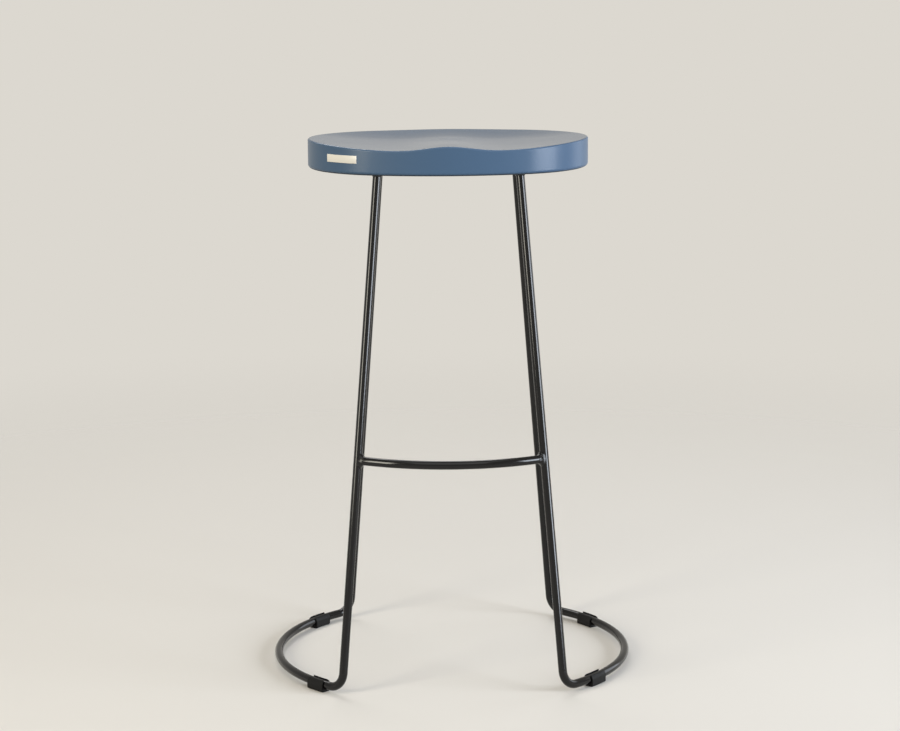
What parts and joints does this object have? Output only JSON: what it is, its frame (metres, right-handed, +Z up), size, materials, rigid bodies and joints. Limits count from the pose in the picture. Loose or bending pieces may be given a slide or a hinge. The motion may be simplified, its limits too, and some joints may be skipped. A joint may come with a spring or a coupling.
{
  "type": "bar stool",
  "caption": "Bar stool with a painted wooden saddle seat, oval in plan, on splayed legs of bent steel rod that run into arcs along the floor, with a bowed footrest.",
  "frame": {"origin": "on the floor, under the middle of the stool", "axes": "+Z up, -Y towards the front, where the footrest is, +X to the right as seen from the front"},
  "size_m": [0.5198, 0.4072, 0.762],
  "materials": {
    "seat_paint": "wood under a satin blue paint",
    "frame_coating": "semi-gloss black coating on steel",
    "glide_plastic": "moulded, matte black",
    "screw_steel": "zinc plated",
    "rim_plate": "ivory, bare"
  },
  "bodies": {
    "root": {"seat": "seat_paint", "front_top_bar": "frame_coating", "rear_top_bar": "frame_coating", "left_side_rod": "frame_coating", "right_side_rod": "frame_coating", "footrest": "frame_coating", "footrest_weld_left": "frame_coating", "footrest_weld_right": "frame_coating", "leg_top_weld_front_left": "frame_coating", "glide_front_left": "glide_plastic", "leg_top_weld_front_right": "frame_coating", "glide_front_right": "glide_plastic", "seat_screw_front_left": "screw_steel", "seat_screw_front_middle": "screw_steel", "seat_screw_front_right": "screw_steel", "leg_top_weld_rear_left": "frame_coating", "glide_rear_left": "glide_plastic", "leg_top_weld_rear_right": "frame_coating", "glide_rear_right": "glide_plastic", "seat_screw_rear_left": "screw_steel", "seat_screw_rear_middle": "screw_steel", "seat_screw_rear_right": "screw_steel"}
  },
  "joints": []
}
